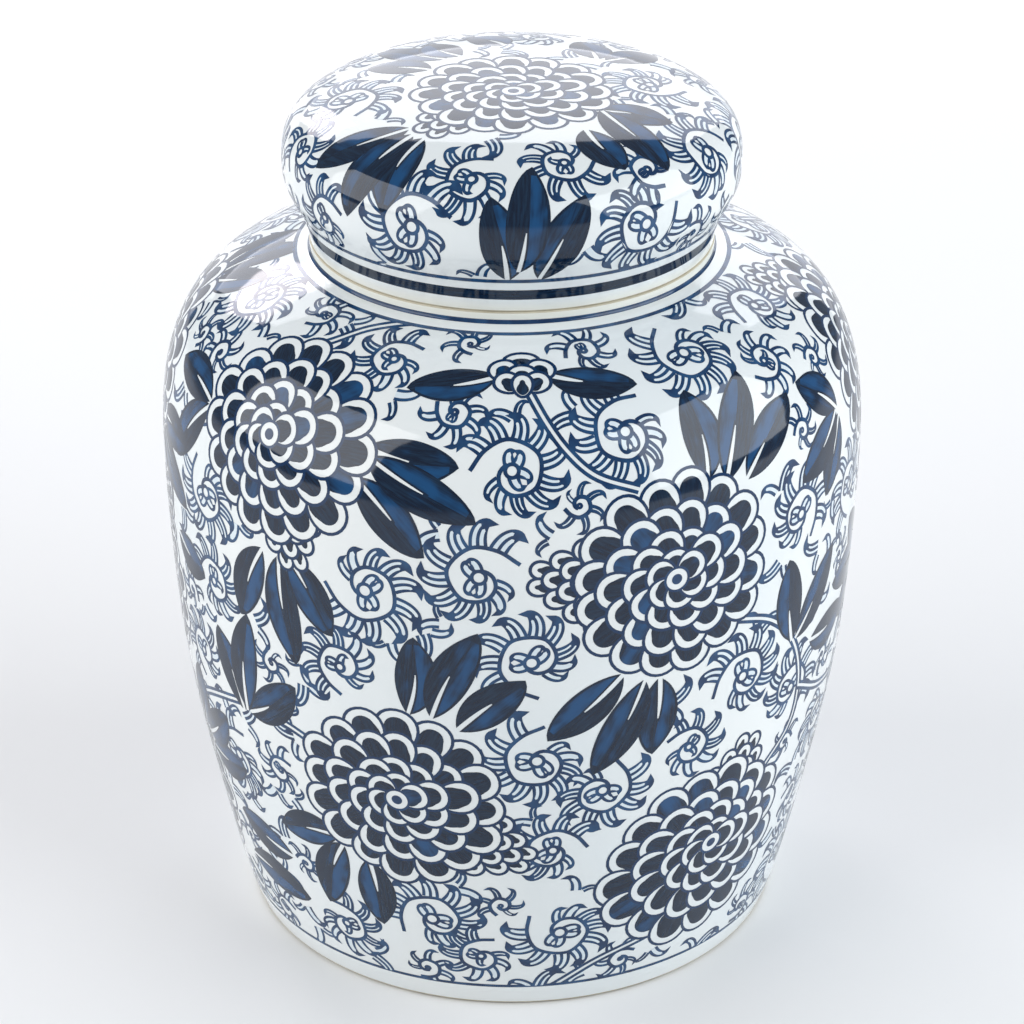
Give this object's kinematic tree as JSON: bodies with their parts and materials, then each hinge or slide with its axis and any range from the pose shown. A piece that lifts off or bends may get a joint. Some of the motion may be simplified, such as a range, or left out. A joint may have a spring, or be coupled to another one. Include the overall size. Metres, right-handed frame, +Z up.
{
  "type": "ginger jar",
  "caption": "Lidded porcelain jar with a high rounded shoulder and a domed lift-off lid, decorated in blue on white, for display or dry storage.",
  "frame": {"origin": "centre of the foot ring, on the surface that the jar stands on", "axes": "+Z up along the axis of revolution, -Y towards the side with the bud under the rim"},
  "size_m": [0.2, 0.2, 0.2525],
  "materials": {
    "jar_glaze": "glossy white glaze over cobalt blue painting",
    "lid_glaze": "glossy white glaze over cobalt blue painting"
  },
  "bodies": {
    "jar": {"jar_body": "jar_glaze"},
    "lid": {"lid": "lid_glaze"}
  },
  "joints": [
    {"name": "lid_lift", "type": "slide", "parent": "jar", "child": "lid", "axis": [0, 0, 1], "range_m": [0, 0.09]}
  ]
}
